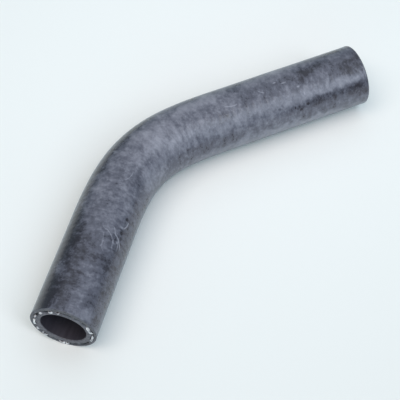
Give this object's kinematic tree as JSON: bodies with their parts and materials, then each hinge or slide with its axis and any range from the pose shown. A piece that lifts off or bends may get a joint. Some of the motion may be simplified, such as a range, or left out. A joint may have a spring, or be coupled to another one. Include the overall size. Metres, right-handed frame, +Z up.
{
  "type": "coolant hose",
  "caption": "Moulded rubber coolant hose with a single eased bend and open, square-cut ends that push over pipes and are held by clamps.",
  "frame": {"origin": "on the resting plane, under the middle of the hose's bounding box", "axes": "+Z up from the plane that the hose lies on; the near arm runs along +Y from the near end, whose face looks along -Y; the bend turns towards +X"},
  "size_m": [0.1064, 0.1702, 0.0275],
  "materials": {
    "rubber": "satin black moulded rubber, clouded by a grey bloom",
    "yarn": "undyed reinforcement yarn, seen only as cut ends in the wall"
  },
  "bodies": {
    "root": {"coolant_hose": "rubber"}
  },
  "joints": []
}
